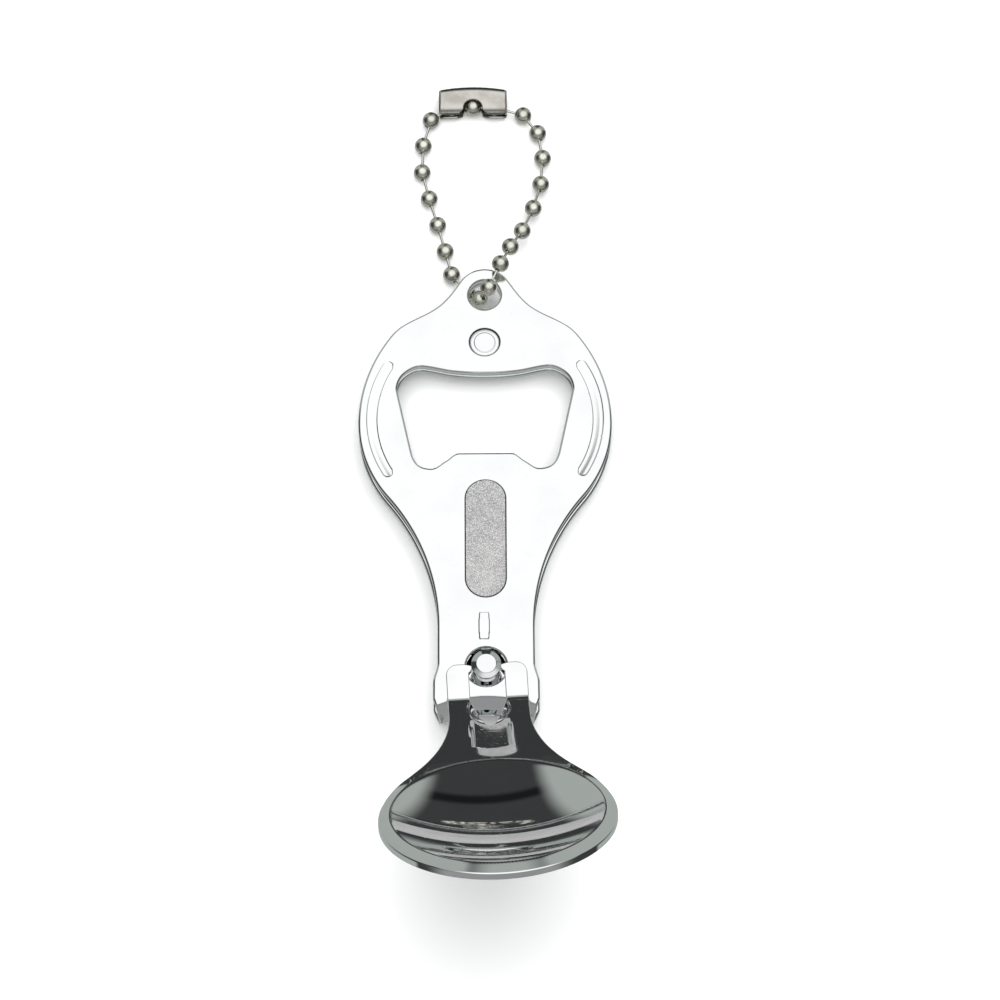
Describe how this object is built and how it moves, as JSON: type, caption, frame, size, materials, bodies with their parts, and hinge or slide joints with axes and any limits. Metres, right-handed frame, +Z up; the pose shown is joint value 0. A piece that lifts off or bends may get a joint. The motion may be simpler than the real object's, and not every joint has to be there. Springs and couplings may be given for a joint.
{
  "type": "lever nail clipper",
  "caption": "Pocket lever nail clipper with sprung jaw plates, swivelling fold-over lever, emery file, bottle opener cut-out and a ball chain loop.",
  "frame": {"origin": "middle of the underside of the post's foot, on the surface that the clipper lies on", "axes": "+Y from the post along the body to the chain tab, +Z up through the post, +X across the body to the right when looking along +Y"},
  "size_m": [0.0348, 0.1294, 0.04],
  "materials": {
    "plate_chrome": "bright polished chrome plate with faint hairline scratches",
    "rivet_steel": "bright plated rivet, finely turned face",
    "emery": "fine matte grey abrasive grit",
    "post_steel": "bright plated turned steel",
    "lever_chrome": "mirror chrome plate over pressed steel",
    "clasp_nickel": "warm nickel plate, softly worn",
    "bead_nickel": "warm nickel plate, rubbed bright on the outside",
    "wire_nickel": "drawn nickel-plated wire"
  },
  "bodies": {
    "root": {"lower_jaw": "plate_chrome", "rear_rivet": "rivet_steel"},
    "upper_jaw": {"upper_jaw": "plate_chrome", "file_pad": "emery"},
    "post": {"post": "post_steel"},
    "lever": {"lever": "lever_chrome"},
    "ball_chain": {"chain_clasp": "clasp_nickel", "chain_bead_01": "bead_nickel", "chain_bead_02": "bead_nickel", "chain_bead_03": "bead_nickel", "chain_bead_04": "bead_nickel", "chain_bead_05": "bead_nickel", "chain_bead_06": "bead_nickel", "chain_bead_07": "bead_nickel", "chain_bead_08": "bead_nickel", "chain_bead_09": "bead_nickel", "chain_bead_10": "bead_nickel", "chain_bead_11": "bead_nickel", "chain_bead_12": "bead_nickel", "chain_bead_13": "bead_nickel", "chain_bead_14": "bead_nickel", "chain_bead_15": "bead_nickel", "chain_bead_16": "bead_nickel", "chain_bead_17": "bead_nickel", "chain_bead_18": "bead_nickel", "chain_bead_19": "bead_nickel", "chain_bead_20": "bead_nickel", "chain_bead_21": "bead_nickel", "chain_link_01": "wire_nickel", "chain_link_02": "wire_nickel", "chain_link_03": "wire_nickel", "chain_link_04": "wire_nickel", "chain_link_05": "wire_nickel", "chain_link_06": "wire_nickel", "chain_link_07": "wire_nickel", "chain_link_08": "wire_nickel", "chain_link_09": "wire_nickel", "chain_link_10": "wire_nickel", "chain_link_11": "wire_nickel", "chain_link_12": "wire_nickel", "chain_link_13": "wire_nickel", "chain_link_14": "wire_nickel", "chain_link_15": "wire_nickel", "chain_link_16": "wire_nickel", "chain_link_17": "wire_nickel", "chain_link_18": "wire_nickel", "chain_link_19": "wire_nickel", "chain_link_20": "wire_nickel"}
  },
  "joints": [
    {"name": "jaw_close", "type": "hinge", "parent": "root", "child": "upper_jaw", "pos_m": [0, 0.0486, 0.004], "axis": [1, 0, 0], "range_deg": [0, 2.5], "stiffness_Nm_per_rad": 3, "springref_deg": -1.15},
    {"name": "post_swivel", "type": "hinge", "parent": "root", "child": "post", "pos_m": [0, 0, 0], "axis": [0, 0, 1], "continuous": true},
    {"name": "lever_tilt", "type": "hinge", "parent": "post", "child": "lever", "pos_m": [0, 0, 0.00747], "axis": [-0.9986, -0.0523, 0], "range_deg": [0, 141]},
    {"name": "chain_swing", "type": "hinge", "parent": "root", "child": "ball_chain", "pos_m": [0, 0.0559, 0], "axis": [0, 0, 1], "range_deg": [-45, 45]}
  ]
}
